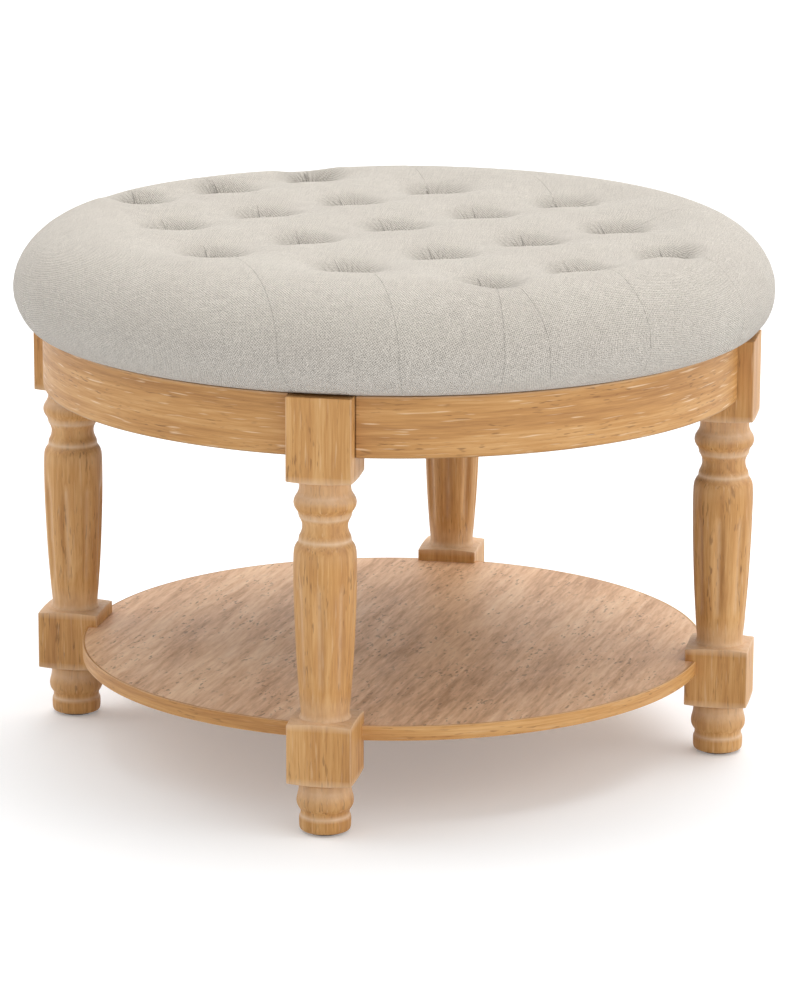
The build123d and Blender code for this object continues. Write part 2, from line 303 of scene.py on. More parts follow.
def new_object(bm, name):
    """Turns a bmesh into an object at the origin."""
    mesh = bpy.data.meshes.new(name)
    bm.to_mesh(mesh)
    bm.free()
    thing = bpy.data.objects.new(name, mesh)
    scene.collection.objects.link(thing)
    return thing


def make_floor():
    """A wide white floor under the feet."""
    bm = bmesh.new()
    bmesh.ops.create_grid(bm, x_segments=1, y_segments=1, size=FLOOR_REACH)
    floor = new_object(bm, "studio_floor")
    floor.data.materials.append(floor_paint())


make_floor()
print("Floor reaches", FLOOR_REACH, "m each way")

# %% [markdown]
# A broad lamp stands high behind the table and a little to its right, so the top is brightest
# and the shadow falls forward. One from the front right shapes the legs, and a weak one opens up
# the left side. Area lamps would do, but suns with a wide angle need no distance to be tuned.

# %% Lamps
# Where the lamps stand, in metres. A sun shines alike from any distance.
LAMP_DISTANCE = 3
# Toward each lamp, in the camera's terms: right, away and up. Then strength, spread and colour.
LAMPS = {
    "high_back_lamp": ((0.22, 0.40, 1.0), 2.10, 65, (1.0, 1.0, 1.0)),
    "front_right_lamp": ((0.95, -0.55, 0.4), 1.05, 60, (1.0, 0.97, 0.93)),
    "left_lamp": ((-1.0, 0.30, 0.8), 0.60, 50, (1.0, 0.99, 0.98)),
}


def make_lamp(name, toward, strength, spread, colour):
    """A broad distant lamp that shines at the table."""
    lamp = bpy.data.lights.new(name, "SUN")
    lamp.energy = strength
    lamp.angle = math.radians(spread)
    lamp.color = colour
    holder = bpy.data.objects.new(name, lamp)
    place = Matrix.Rotation(CAMERA_AZIMUTH, 3, "Z") @ Vector(toward)
    aim = place.to_track_quat("Z", "Y").to_matrix().to_4x4()
    holder.matrix_world = Matrix.Translation(LAMP_DISTANCE * place) @ aim
    scene.collection.objects.link(holder)


for name, settings in LAMPS.items():
    make_lamp(name, *settings)
scene.view_settings.view_transform = "Standard"
print("Lamps:", ", ".join(LAMPS))

# %% [markdown]
# The wood is a light, open grained timber with a golden stain that has worn pale on its ridges
# and in its turned hollows. A picture of wood would show its seams on round pieces, so the look
# comes from noise that is stretched along the grain: broad bands of colour, streaks, fine
# fibres, dark pores that gather in clusters, and short pale flecks. The same network serves
# every piece, and only the grain's direction and the colours change.

# %% Wood colours and grain
GOLD_DARK = (0.410, 0.187, 0.057)
GOLD_MID = (0.55, 0.283, 0.090)
GOLD_LIGHT = (0.67, 0.390, 0.156)
WORN = (0.72, 0.51, 0.335)
PALE_FLECK = (0.80, 0.60, 0.40)
# Each layer of the grain: how often it changes across and along the grain, per metre, where its
# pattern starts, and its detail and roughness
GRAIN = {
    "broad": (45, 2.5, (3.1, 1.7, 0.6), 3, 0.55),
    "streak": (230, 9, (0.4, 2.2, 5.1), 3, 0.65),
    "fibre": (650, 35, (7.3, 0.2, 1.9), 2, 0.55),
    "pore": (520, 75, (2.7, 5.2, 8.9), 1, 0.55),
    "cluster": (60, 14, (4.4, 6.1, 2.2), 2, 0.55),
    "pale": (420, 28, (2.3, 8.1, 4.4), 1, 0.55),
}


def grain_layers(tree, coordinates, along, turn, blotchy):
    """The grain's layers as grey patterns, with the grain along one axis."""
    layers = {}
    for layer, (across, lengthwise, move, detail, roughness) in GRAIN.items():
        scale = [lengthwise * blotchy if axis == along else across / blotchy for axis in range(3)]
        spread = stretched(tree, coordinates, scale, turn, move)
        layers[layer] = noise(tree, spread, 1, detail, roughness)
    return layers


print("Layers of grain:", ", ".join(GRAIN))

# %% Wood
PORE_SHADE = 0.55
# How dark the joints at the rails' ends and the painted shade along their lower edges are
SEAM_AND_EDGE_SHADE = 0.25


def wood(name, colours, along, source="Object", turn=0.0, flecks=0.25, pores=0.7, blotchy=1.0):
    """A grained wood. along is the grain's axis, 0 for X, and blotchy widens the streaks."""
    paint, tree, shader = new_paint(name)
    dark, middle, light = colours
    if source == "Object":
        coordinates = object_places(tree)
    else:
        coordinates = put(tree, "ShaderNodeUVMap", {"uv_map": source}).outputs[0]
    grain = grain_layers(tree, coordinates, along, turn, blotchy)

    tone = weighted(tree, (grain["broad"], 0.42), (grain["streak"], 0.38), (grain["fibre"], 0.20))
    colour = ramp(tree, tone, [(0.38, dark), (0.50, middle), (0.62, light)])
    cluster = level(tree, grain["cluster"], 0.42, 0.62)
    pore = times(tree, level(tree, grain["pore"], 0.60, 0.70), cluster, pores)
    colour = covered(tree, colour, pore, toned(dark, PORE_SHADE))
    fleck = times(tree, level(tree, grain["pale"], 0.64, 0.74), flecks)
    colour = covered(tree, colour, fleck, PALE_FLECK)
    patchy = level(tree, noise(tree, coordinates, 150, 2), 0.25, 0.75, 0.65, 1.0)
    colour = covered(tree, colour, times(tree, attribute(tree, "wear"), patchy), WORN)
    # Dark joints at the rails' ends, and painted shade along the rails' lower edges
    colour = covered(tree, colour, attribute(tree, "seam"), toned(dark, SEAM_AND_EDGE_SHADE))

    shader.inputs["Specular IOR Level"].default_value = 0.38
    rough = level(tree, grain["streak"], 0.3, 0.7, 0.56, 0.42)
    height = sums(tree, "SUBTRACT", grain["fibre"], times(tree, pore, 0.8))
    finish_paint(tree, shader, colour, rough, height, 0.4, 0.4 * MM)
    return paint


# %% Golden woods
APRON_DARK = (0.39, 0.185, 0.058)
APRON_MID = (0.53, 0.272, 0.088)
APRON_LIGHT = (0.65, 0.375, 0.150)
golden = (GOLD_DARK, GOLD_MID, GOLD_LIGHT)
leg_wood = wood("golden_leg_wood", golden, along=2)
apron_wood = wood(
    "golden_apron_wood", (APRON_DARK, APRON_MID, APRON_LIGHT), along=0, source="grain", flecks=0.7
)
band_wood = wood("golden_band_wood", golden, along=0, source="grain", flecks=0.15)
print("Woods:", leg_wood.name, apron_wood.name, band_wood.name)

# %% [markdown]
# Each leg was one square blank. The lathe left two blocks square and turned the rest into
# beads, hollows and a swelling shaft with eight flutes. It could be carved from a cube, but a
# few rings of a profile, spun round the axis and smoothed by a subdivision surface, give round
# forms with far fewer faces, and a crease on a ring keeps a step sharp. Each ring also says how
# worn the finish is there.

# %% Leg sizes
leg_low, leg_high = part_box("right_leg")
block_half = (leg_high.y - leg_low.y) / 2
leg_axis = leg_high.x - block_half
LOWER_BLOCK = (47.0 * MM, 102.0 * MM)
UPPER_BLOCK = (309.8 * MM, leg_high.z)
TURNING_STEPS = 64
print("Leg axis at", round(leg_axis, 4), "m, block half width", round(block_half, 4), "m")

# %% Turned rings
# Height and radius in millimetres, crease, wear
FOOT_RINGS = [
    (2.5, 18.5, 0.0, 0.1), (2.6, 21.0, 0.3, 0.1), (4.2, 22.2, 0.0, 0.0), (9.0, 22.4, 0.0, 0.0),
    (13.0, 22.4, 0.0, 0.0), (14.6, 22.1, 0.4, 0.6), (15.7, 21.4, 0.6, 1.0), (16.9, 21.0, 0.3, 0.6),
    (18.6, 21.0, 0.3, 0.1), (20.6, 21.2, 0.5, 0.0), (22.6, 23.0, 0.0, 0.0), (26.0, 24.6, 0.0, 0.1),
    (30.5, 24.6, 0.0, 0.2), (34.5, 23.4, 0.0, 0.5), (38.5, 22.5, 0.0, 0.7), (43.0, 22.5, 0.0, 0.5),
    (50.0, 23.2, 0.0, 0.3),
]
SHAFT_RINGS = [
    (98.0, 24.5, 0.0, 0.8), (101.5, 23.0, 0.0, 0.8), (104.0, 20.9, 0.0, 0.7),
    (107.5, 20.6, 0.0, 0.4), (114.0, 21.4, 0.0, 0.3), (121.0, 22.0, 0.0, 0.1),
    (127.5, 22.5, 0.0, 0.0), (136.0, 23.2, 0.0, 0.0), (151.0, 24.3, 0.0, 0.0),
    (170.0, 25.3, 0.0, 0.0), (188.0, 26.0, 0.0, 0.0), (204.0, 26.6, 0.0, 0.0),
    (215.0, 26.8, 0.0, 0.0), (224.5, 26.9, 0.0, 0.0), (236.0, 26.9, 0.0, 0.0),
    (245.0, 26.8, 0.0, 0.1), (250.0, 26.2, 0.0, 0.1), (253.6, 24.4, 0.0, 0.2),
    (255.4, 22.7, 0.6, 0.4), (257.6, 22.5, 0.4, 1.0), (260.4, 22.0, 0.4, 0.3),
    (262.8, 20.6, 0.0, 0.1), (266.8, 19.3, 0.0, 0.1), (271.6, 19.3, 0.0, 0.1),
    (275.0, 20.9, 0.0, 0.2), (277.2, 22.3, 0.5, 0.9), (280.6, 22.9, 0.5, 0.5),
    (282.4, 23.6, 0.4, 0.1), (285.2, 26.0, 0.0, 0.0), (289.4, 27.0, 0.0, 0.1),
    (293.4, 26.0, 0.0, 0.6), (296.6, 23.7, 0.0, 0.9), (299.6, 22.2, 0.0, 0.5),
    (303.6, 21.8, 0.0, 0.4), (307.8, 22.2, 0.0, 0.4), (314.0, 24.0, 0.0, 0.3),
]
print("Rings:", len(FOOT_RINGS), "in a foot and", len(SHAFT_RINGS), "in a shaft")


# %% Mesh helpers
MERGE = 0.001 * MM


def wear_layer(bm):
    """The number on each vertex that says how worn the finish is."""
    return bm.verts.layers.float.get("wear") or bm.verts.layers.float.new("wear")


def line_of(bm, points, closed=False):
    """Vertices and edges through (radius, height) points, as two lists."""
    verts = [bm.verts.new((radius, 0, height)) for radius, height in points]
    ends = verts[1:] + (verts[:1] if closed else [])
    return verts, [bm.edges.new(pair) for pair in zip(verts, ends)]


def spin_round(bm, line, steps, merge=MERGE):
    """Spins a line of vertices and edges right round the axis and merges the seam and poles."""
    bmesh.ops.spin(
        bm, geom=line, cent=(0, 0, 0), axis=(0, 0, 1), angle=math.tau, steps=steps, use_merge=True
    )
    bmesh.ops.remove_doubles(bm, verts=bm.verts, dist=merge)


def cut(bm, place, normal, clear_inner=False):
    """Cuts every face along a plane."""
    bmesh.ops.bisect_plane(
        bm, geom=[*bm.verts, *bm.edges, *bm.faces], plane_co=place, plane_no=normal,
        clear_inner=clear_inner,
    )


def close_and_face_out(bm):
    """Fills the open ends and points every face outward."""
    bmesh.ops.holes_fill(bm, edges=[edge for edge in bm.edges if edge.is_boundary], sides=0)
    bmesh.ops.recalc_face_normals(bm, faces=bm.faces)


print("Mesh helpers ready")


# %% Piece helpers
def to_piece(bm, name, paint, replaced, smooth_angle=40.0):
    """Turns a bmesh into an object at the origin that stands for CAD nodes."""
    piece = new_object(bm, name)
    piece.data.materials.append(paint)
    for face in piece.data.polygons:
        face.use_smooth = True
    if smooth_angle:
        piece.data.set_sharp_from_angle(angle=math.radians(smooth_angle))
    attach(piece, "root")
    if replaced:
        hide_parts(*replaced)
    return piece


def smooth_once(piece):
    """Rounds a piece with one level of subdivision surface."""
    smooth = piece.modifiers.new("smooth", "SUBSURF")
    smooth.levels = 1
    smooth.render_levels = 1


def ease_edges(piece, width, angle=50):
    """Takes the sharpness off a piece's edges, as sandpaper does."""
    edge = piece.modifiers.new("eased edges", "BEVEL")
    edge.width = width
    edge.segments = 2
    edge.limit_method = "ANGLE"
    edge.angle_limit = math.radians(angle)
    edge.harden_normals = True


print("Piece helpers ready")

# %% Flutes
FLUTE_ENDS = (127.5 * MM, 224.5 * MM)
FLUTE_DEPTH = 3.0 * MM
FLUTE_COLUMNS = TURNING_STEPS // 8
FLUTE_TIP = 12 * MM
TIP_SHARE = 0.8
# For each column of vertices, counted from a flute's middle: share of the depth, and wear
FLUTE_SHARES = {0: 1.0, 1: 0.72, 7: 0.72}
FLUTE_WEAR = {0: 0.42, 1: 0.08, 7: 0.08}
RIDGE_WEAR = 0.03


def cut_flutes(bm):
    """Presses flutes with pointed ends into the shaft."""
    low, high = FLUTE_ENDS
    worn = wear_layer(bm)
    for vert in bm.verts:
        if not low + 0.1 * MM < vert.co.z < high - 0.1 * MM:
            continue
        angle = math.atan2(vert.co.y, vert.co.x)
        column = round(angle / math.tau * TURNING_STEPS) % FLUTE_COLUMNS
        near_end = min(vert.co.z - low, high - vert.co.z) < FLUTE_TIP
        depth = FLUTE_SHARES.get(column, 0.0) * (TIP_SHARE if near_end else 1.0)
        outward = Vector((vert.co.x, vert.co.y, 0)).normalized()
        vert.co -= outward * FLUTE_DEPTH * depth
        vert[worn] = FLUTE_WEAR.get(column, RIDGE_WEAR)


flute_length = FLUTE_ENDS[1] - FLUTE_ENDS[0]
print("Flutes:", TURNING_STEPS // FLUTE_COLUMNS, "of", round(flute_length / MM), "mm")


# %% Turned parts
def turned_part(rings, fluted=False):
    """Spins (height, radius, crease, wear) rings into a turned form about the origin."""
    bm = bmesh.new()
    worn = wear_layer(bm)
    crease = bm.edges.layers.float.new("crease_edge")
    verts, edges = line_of(bm, [(radius * MM, height * MM) for height, radius, _, _ in rings])
    for vert, (_, _, _, wear) in zip(verts, rings):
        vert[worn] = wear
    spin_round(bm, verts + edges, TURNING_STEPS)
    sharp = {round(height * MM, 6): amount for height, _, amount, _ in rings}
    for edge in bm.edges:
        low, high = (vert.co.z for vert in edge.verts)
        if abs(low - high) < 1e-7:
            edge[crease] = sharp.get(round(low, 6), 0.0)
    close_and_face_out(bm)
    if fluted:
        cut_flutes(bm)
    return bm


print("Turned parts from", FOOT_RINGS[0][0], "to", SHAFT_RINGS[-1][0], "mm")

# %% Square blocks
SHOULDER_SLOPE = 0.14
SHOULDER_START_SHARE = 0.96
SHOULDER_BAND = 7 * MM
BLOCK_RIM = 1.6 * MM
BLOCK_CUT_SHARES = (0.28, 0.5, 0.68, 0.82)
SHOULDER_WEAR = 0.75
CORNER_WEAR = 0.55
TOUCH = 0.001 * MM


def square_part(low, high):
    """A square block, cut finely enough for its ends to be shaped."""
    bm = bmesh.new()
    bmesh.ops.create_cube(bm, size=1)
    bmesh.ops.scale(bm, vec=(2 * block_half, 2 * block_half, high - low), verts=bm.verts)
    bmesh.ops.translate(bm, vec=(0, 0, (low + high) / 2), verts=bm.verts)
    for axis in (Vector((1, 0, 0)), Vector((0, 1, 0))):
        for share in BLOCK_CUT_SHARES:
            for side in (1, -1):
                cut(bm, axis * side * share * block_half, axis)
        for side in (1, -1):
            cut(bm, axis * side * (block_half - BLOCK_RIM), axis)
    for height in (low + SHOULDER_BAND, high - SHOULDER_BAND):
        cut(bm, (0, 0, height), (0, 0, 1))
    return bm


def block_part(low, high, cone_high):
    """A square block whose lower end, and upper end if asked, slope off as shallow cones."""
    bm = square_part(low, high)
    worn = wear_layer(bm)
    for vert in bm.verts:
        spread = math.hypot(vert.co.x, vert.co.y)
        drop = SHOULDER_SLOPE * max(0.0, spread - block_half * SHOULDER_START_SHARE)
        on_corner = min(abs(vert.co.x), abs(vert.co.y)) > block_half - TOUCH
        if abs(vert.co.z - low) < TOUCH:
            vert.co.z += drop
            vert[worn] = SHOULDER_WEAR
        elif abs(vert.co.z - high) < TOUCH and cone_high:
            vert.co.z -= drop
            vert[worn] = SHOULDER_WEAR
        elif on_corner:
            vert[worn] = CORNER_WEAR
    return bm


print("Blocks", *(round((high - low) / MM) for low, high in (LOWER_BLOCK, UPPER_BLOCK)), "mm tall")

# %% Legs
BLOCK_EASE = 0.7 * MM
BLOCK_EDGE_ANGLE = 35


def joined(parts):
    """Several bmeshes as one."""
    whole = bmesh.new()
    wear_layer(whole)
    whole.edges.layers.float.new("crease_edge")
    for part in parts:
        spare = bpy.data.meshes.new("spare")
        part.to_mesh(spare)
        part.free()
        whole.from_mesh(spare)
        bpy.data.meshes.remove(spare)
    return whole


def make_leg(node):
    """One leg in its own place, with its flutes facing the same way as its blocks."""
    low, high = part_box(node)
    centre = Vector(((low.x + high.x) / 2, (low.y + high.y) / 2, 0))
    turned = joined([turned_part(FOOT_RINGS), turned_part(SHAFT_RINGS, fluted=True)])
    bmesh.ops.translate(turned, vec=centre, verts=turned.verts)
    piece = to_piece(turned, node.replace("_leg", "_turned_leg"), leg_wood, [node], 0)
    smooth_once(piece)
    blocks = joined([block_part(*LOWER_BLOCK, True), block_part(*UPPER_BLOCK, False)])
    bmesh.ops.translate(blocks, vec=centre, verts=blocks.verts)
    squares = to_piece(
        blocks, node.replace("_leg", "_leg_blocks"), leg_wood, [], BLOCK_EDGE_ANGLE
    )
    ease_edges(squares, BLOCK_EASE, BLOCK_EDGE_ANGLE)
    print(piece.name, "and", squares.name, "at", [round(v, 4) for v in centre.xy])


for node in ("right_leg", "back_leg", "left_leg", "front_leg"):
    make_leg(node)

# %% [markdown]
# The apron is four curved rails. Each ends flat against the sides of two posts. A straight bar
# could be bent along a curve, but a section that is spun a little past the posts and then cut
# with two planes gets exactly those flat ends. A map of its own, with the arc's length across
# and the height up, lets the grain run round the curve.

# %% Apron sizes
apron_low, apron_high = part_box("apron_back_right")
APRON_OUTER = math.hypot(apron_high.x, block_half)
APRON_WALL = 18 * MM
APRON_STEPS = 48
APRON_RIM = 2.0 * MM
APRON_EASE = 1.0 * MM
SEAM_WIDTH = 1.8 * MM
print("Apron radius", round(APRON_OUTER, 4), "m")

# %% Ring helpers
EDGE_WEAR = 0.7
# How far the grain's map goes up for each metre inward, so that the flat faces have grain too
FACE_SLANT = 0.7


def grain_map(bm, radius, start=0.0):
    """Stores the length round the table and the height, in metres, on each corner."""
    layer = bm.loops.layers.uv.new("grain")
    for face in bm.faces:
        middle = face.calc_center_median()
        face_angle = math.atan2(middle.y, middle.x)
        for loop in face.loops:
            place = loop.vert.co
            angle = math.atan2(place.y, place.x)
            angle += math.tau * round((face_angle - angle) / math.tau)
            depth = math.hypot(place.x, place.y)
            loop[layer].uv = (angle * radius + start, place.z + FACE_SLANT * (radius - depth))


def ring_section(bm, inner, outer, low, high, rim):
    """A closed rectangle of vertices, with extra ones near its corners."""
    worn = wear_layer(bm)
    across = (outer, outer - rim, inner + rim, inner)
    up = (low, low + rim, high - rim, high)
    outline = [(across[0], z) for z in up] + [(r, up[3]) for r in across[1:]]
    outline += [(across[3], z) for z in up[2::-1]] + [(r, up[0]) for r in across[2:0:-1]]
    verts, edges = line_of(bm, outline, closed=True)
    for vert, (radius, height) in zip(verts, outline):
        on_corner = radius in (inner, outer) and height in (low, high)
        vert[worn] = EDGE_WEAR if on_corner else 0.0
    return verts + edges


print("Ring helpers ready")

# %% Apron
# Painted shade along a rail's lower edge: the share of the joints' dark laid there
BOTTOM_SHADE = 0.45
# Each rail's grain starts this much further along the board than the last one's
BOARD_STEP = 1.37


def shade_rail(bm):
    """Marks the dark joints at a rail's ends, and painted shade along its lower edge."""
    seam = bm.verts.layers.float.new("seam")
    worn = wear_layer(bm)
    for vert in bm.verts:
        if min(vert.co.x, vert.co.y) < block_half + SEAM_WIDTH / 2:
            vert[seam] = 1.0
        # Painted shade along the lower edge
        elif vert.co.z < apron_low.z + 0.01 * MM:
            vert[seam] = BOTTOM_SHADE
            vert[worn] = 0.0


def make_apron(node, quarter):
    """One rail of the apron, between two posts."""
    bm = bmesh.new()
    section = ring_section(
        bm, APRON_OUTER - APRON_WALL, APRON_OUTER, apron_low.z, apron_high.z, APRON_RIM
    )
    bmesh.ops.spin(
        bm, geom=section, cent=(0, 0, 0), axis=(0, 0, 1), angle=math.tau / 4, steps=APRON_STEPS
    )
    for normal in (Vector((1, 0, 0)), Vector((0, 1, 0))):
        cut(bm, normal * block_half, normal, clear_inner=True)
        cut(bm, normal * (block_half + SEAM_WIDTH), normal)
    bmesh.ops.holes_fill(bm, edges=[edge for edge in bm.edges if edge.is_boundary], sides=0)
    shade_rail(bm)
    bmesh.ops.recalc_face_normals(bm, faces=bm.faces)
    turn = Matrix.Rotation(quarter * math.tau / 4, 3, "Z")
    bmesh.ops.rotate(bm, verts=bm.verts, cent=(0, 0, 0), matrix=turn)
    grain_map(bm, APRON_OUTER, start=quarter * BOARD_STEP)
    piece = to_piece(bm, node.replace("apron", "rail"), apron_wood, [node])
    ease_edges(piece, APRON_EASE)
    print(piece.name, "with", len(piece.data.polygons), "faces")


for quarter, node in enumerate(
    ("apron_back_right", "apron_back_left", "apron_front_left", "apron_front_right")
):
    make_apron(node, quarter)

# %% [markdown]
# The shelf is a veneered panel with a band of solid wood round it. One disc would do from afar,
# but the band's grain runs round the edge and the veneer's straight across, so they are two
# pieces. The veneer is browner than the legs, with broad streaks that cross it at a slant, and
# has colours of its own.

# %% Shelf panel
panel_low, panel_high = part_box("shelf_panel")
band_low, band_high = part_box("shelf_edge_band")
SHELF_DARK = (0.51, 0.285, 0.150)
SHELF_MID = (0.74, 0.455, 0.265)
SHELF_LIGHT = (0.89, 0.61, 0.385)
SHELF_TURN = math.radians(-84)
SHELF_STEPS = 160
shelf_wood = wood(
    "shelf_veneer_wood", (SHELF_DARK, SHELF_MID, SHELF_LIGHT), along=0, turn=SHELF_TURN,
    flecks=0.2, pores=0.8, blotchy=1.7,
)


def make_panel():
    """The round panel."""
    bm = bmesh.new()
    wear_layer(bm)
    bmesh.ops.create_circle(bm, cap_ends=True, segments=SHELF_STEPS, radius=panel_high.x)
    bmesh.ops.translate(bm, vec=(0, 0, panel_low.z), verts=bm.verts)
    raised = bmesh.ops.extrude_face_region(bm, geom=list(bm.faces))
    top = [part for part in raised["geom"] if isinstance(part, bmesh.types.BMVert)]
    bmesh.ops.translate(bm, vec=(0, 0, panel_high.z - panel_low.z), verts=top)
    bmesh.ops.recalc_face_normals(bm, faces=bm.faces)
    to_piece(bm, "shelf_top_panel", shelf_wood, ["shelf_panel"])


make_panel()
print("Shelf panel of radius", round(panel_high.x, 4), "m")

# %% Shelf band
BAND_RIM = 0.6 * MM
BAND_EASE = 0.5 * MM


def make_band():
    """The band round the shelf's edge."""
    bm = bmesh.new()
    section = ring_section(bm, panel_high.x, band_high.x, band_low.z, band_high.z, BAND_RIM)
    spin_round(bm, section, SHELF_STEPS)
    bmesh.ops.recalc_face_normals(bm, faces=bm.faces)
    grain_map(bm, band_high.x)
    piece = to_piece(bm, "shelf_band", band_wood, ["shelf_edge_band"])
    ease_edges(piece, BAND_EASE)


make_band()
print("Shelf band", round((band_high.x - panel_high.x) / MM, 1), "mm wide")

# %% [markdown]
# The cushion is foam under wadding and linen, pulled down by nineteen buttons. It could be
# sculpted, but its buttons stand in an even lattice, so it starts as the outline of the CAD
# cover, spun into a dome a millimetre too small. The buttons are pulled in by a third, and a
# short cloth simulation with air pressure inside then rounds the cloth over its wadding. The
# deep funnels and their folds are too fine for that, so they come after it.

# %% Cushion sizes
cover_low, cover_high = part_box("cushion_cover")
CUSHION_RADIUS = cover_high.x
ROLL = 30 * MM
CROWN_DEPTH = 74 * MM
CROWN_HEIGHT = 65 * MM
CROWN_RISE = 1.5 * MM
WIDEST = cover_low.z + ROLL
CROWN_EDGE = CUSHION_RADIUS - CROWN_DEPTH
HEM_RADIUS = 286.5 * MM
HEM_DEPTH = 3 * MM
FLOAT = 0.3 * MM
STEEPEST_SHARE = 0.999
print("Cushion radius", round(CUSHION_RADIUS, 4), "m, widest at", round(WIDEST, 4), "m")


def crown_at(radius):
    """Height of the crown at a distance from the centre, and how far it leans outward."""
    share = min(max(radius - CROWN_EDGE, 0) / CROWN_DEPTH, STEEPEST_SHARE)
    rise = math.sqrt(1 - share ** 2)
    return WIDEST + CROWN_HEIGHT * rise, math.atan(CROWN_HEIGHT / CROWN_DEPTH * share / rise)


# %% Cushion outline
TOP_STEPS = 12
SIDE_STEPS = 24
ROLL_STEPS = 10


def outline(shrink=0.0):
    """Radius and height from the middle of the top, over the side and in under the hem."""
    points = [(0.0, WIDEST + CROWN_HEIGHT + CROWN_RISE - shrink)]
    for step in range(1, TOP_STEPS):
        radius = CROWN_EDGE * step / TOP_STEPS
        rise = CROWN_RISE * math.cos(radius / CROWN_EDGE * math.pi / 2) ** 2
        points.append((radius, WIDEST + CROWN_HEIGHT + rise - shrink))
    for step in range(SIDE_STEPS + 1):
        angle = math.radians(90 - 90 * step / SIDE_STEPS)
        points.append((
            CROWN_EDGE + (CROWN_DEPTH - shrink) * math.cos(angle),
            WIDEST + (CROWN_HEIGHT - shrink) * math.sin(angle),
        ))
    for step in range(1, ROLL_STEPS + 1):
        angle = math.radians(90 * step / ROLL_STEPS)
        points.append((
            CUSHION_RADIUS - ROLL + (ROLL - shrink) * math.cos(angle),
            WIDEST - (ROLL - FLOAT) * math.sin(angle),
        ))
    return points


print("Outline of", len(outline()), "points")

# %% [markdown]
# An upholsterer sets out the buttons on a lattice before the foam is drilled. They could be
# placed one by one after the photograph, but two distances, a turn and the length of each row
# give all nineteen. Each button also lets the whole surface round it down a little, which
# leaves soft mounds of wadding in between.

# %% Tuft places
TUFT_PITCH = 101 * MM
TUFT_ROW_GAP = 126 * MM
TUFT_TURN = math.radians(50)


def tuft_places():
    """Plan position of each button, in rows of three, four, five, four and three."""
    places = []
    for row in range(-2, 3):
        row_count = 5 - abs(row)
        for number in range(row_count):
            along = TUFT_PITCH * (number - (row_count - 1) / 2)
            across = TUFT_ROW_GAP * row
            places.append((
                along * math.cos(TUFT_TURN) - across * math.sin(TUFT_TURN),
                along * math.sin(TUFT_TURN) + across * math.cos(TUFT_TURN),
            ))
    return places


print("Buttons:", len(tuft_places()))

# %% Dish round the tufts
DISH = 12 * MM
DISH_RADIUS = 82 * MM
DISH_END = 256 * MM
DISH_FADE = 40 * MM


def eased(share):
    """A smooth step from nought to one."""
    share = np.clip(share, 0, 1)
    return share * share * (3 - 2 * share)


def plan_radius(places):
    """Distance of each place from the table's axis, never quite nought."""
    return np.maximum(np.hypot(places[:, 0], places[:, 1]), 1e-9)


def dished(places):
    """Places let down widely round each tuft, which leaves soft mounds between them."""
    away = places[:, None, :2] - np.array(tuft_places())[None]
    share = np.minimum(np.hypot(away[..., 0], away[..., 1]) / DISH_RADIUS, 1)
    drop = DISH * np.minimum(((1 - share ** 2) ** 2).sum(axis=1), 1)
    drop *= 1 - eased((plan_radius(places) - DISH_END) / DISH_FADE)
    out = places.copy()
    out[:, 2] -= drop * (places[:, 2] > WIDEST)
    return out


def tuft_frame(place):
    """A tuft's mouth on the dished crown, and the direction square to the crown there."""
    height, lean = crown_at(math.hypot(*place))
    outward = Vector((*place, 0)).normalized() if lean else Vector((1, 0, 0))
    mouth = dished(np.array([(*place, height)]))[0]
    return Vector(mouth), outward * math.sin(lean) + Vector((0, 0, math.cos(lean)))


tufts = [tuft_frame(place) for place in tuft_places()]
mouths = np.array([mouth for mouth, _ in tufts])
uprights = np.array([upright for _, upright in tufts])
print("Tufts:", len(tufts), "outermost at", round(max(mouth.xy.length for mouth, _ in tufts), 4))

# %% [markdown]
# Each button pulls its own funnel, square to the crown where it sits. Proportional editing does
# this by hand. A formula does it for all of them alike: a vertex goes down by an amount that
# falls off with its distance from the button's own axis, steeply at first and then softly.

# %% Press the tufts
TUFT_MOUTH = 38 * MM
TUFT_DEPTH = 20 * MM
BUTTON_REACH = 7 * MM
START_SHARE = 0.33


def places_of(mesh):
    """The places of a mesh's vertices."""
    places = np.empty(len(mesh.vertices) * 3)
    mesh.vertices.foreach_get("co", places)
    return places.reshape(-1, 3)


def tuft_gaps(places):
    """Distance of every place from every tuft's own axis."""
    away = places[:, None, :] - mouths[None, :, :]
    along = (away * uprights[None]).sum(axis=2)
    return np.linalg.norm(away - along[..., None] * uprights[None], axis=2)


def pressed(places, amount):
    """Places with every tuft pulled in by a share of its depth: steep beside its button."""
    gaps = tuft_gaps(places)
    share = np.clip(1 - (gaps - BUTTON_REACH) / (TUFT_MOUTH - BUTTON_REACH), 0, 1)
    funnel = TUFT_DEPTH * (0.5 * share ** 3 + 0.5 * share ** 1.5)
    depth = amount * funnel * (places[:, 2] > WIDEST)[:, None]
    return places - (depth[..., None] * uprights[None]).sum(axis=1)


print("Tufts", round(TUFT_DEPTH / MM), "mm deep and", round(2 * TUFT_MOUTH / MM), "mm wide")

# %% [markdown]
# A spun outline has long thin faces near its middle, and cloth doesn't bend well over those. A
# voxel remesh gives the dome even faces, small enough for a funnel's mouth and still few enough
# for a quick simulation.

# %% Dome
DOME_SHRINK = 1 * MM
DOME_STEPS = 180
DOME_MERGE = 0.01 * MM
DOME_VOXEL = 6.6 * MM


def apply_modifiers(piece):
    """Bakes a piece's modifiers into its mesh."""
    graph = bpy.context.evaluated_depsgraph_get()
    graph.update()
    baked = bpy.data.meshes.new_from_object(piece.evaluated_get(graph), depsgraph=graph)
    piece.modifiers.clear()
    old = piece.data
    piece.data = baked
    bpy.data.meshes.remove(old)


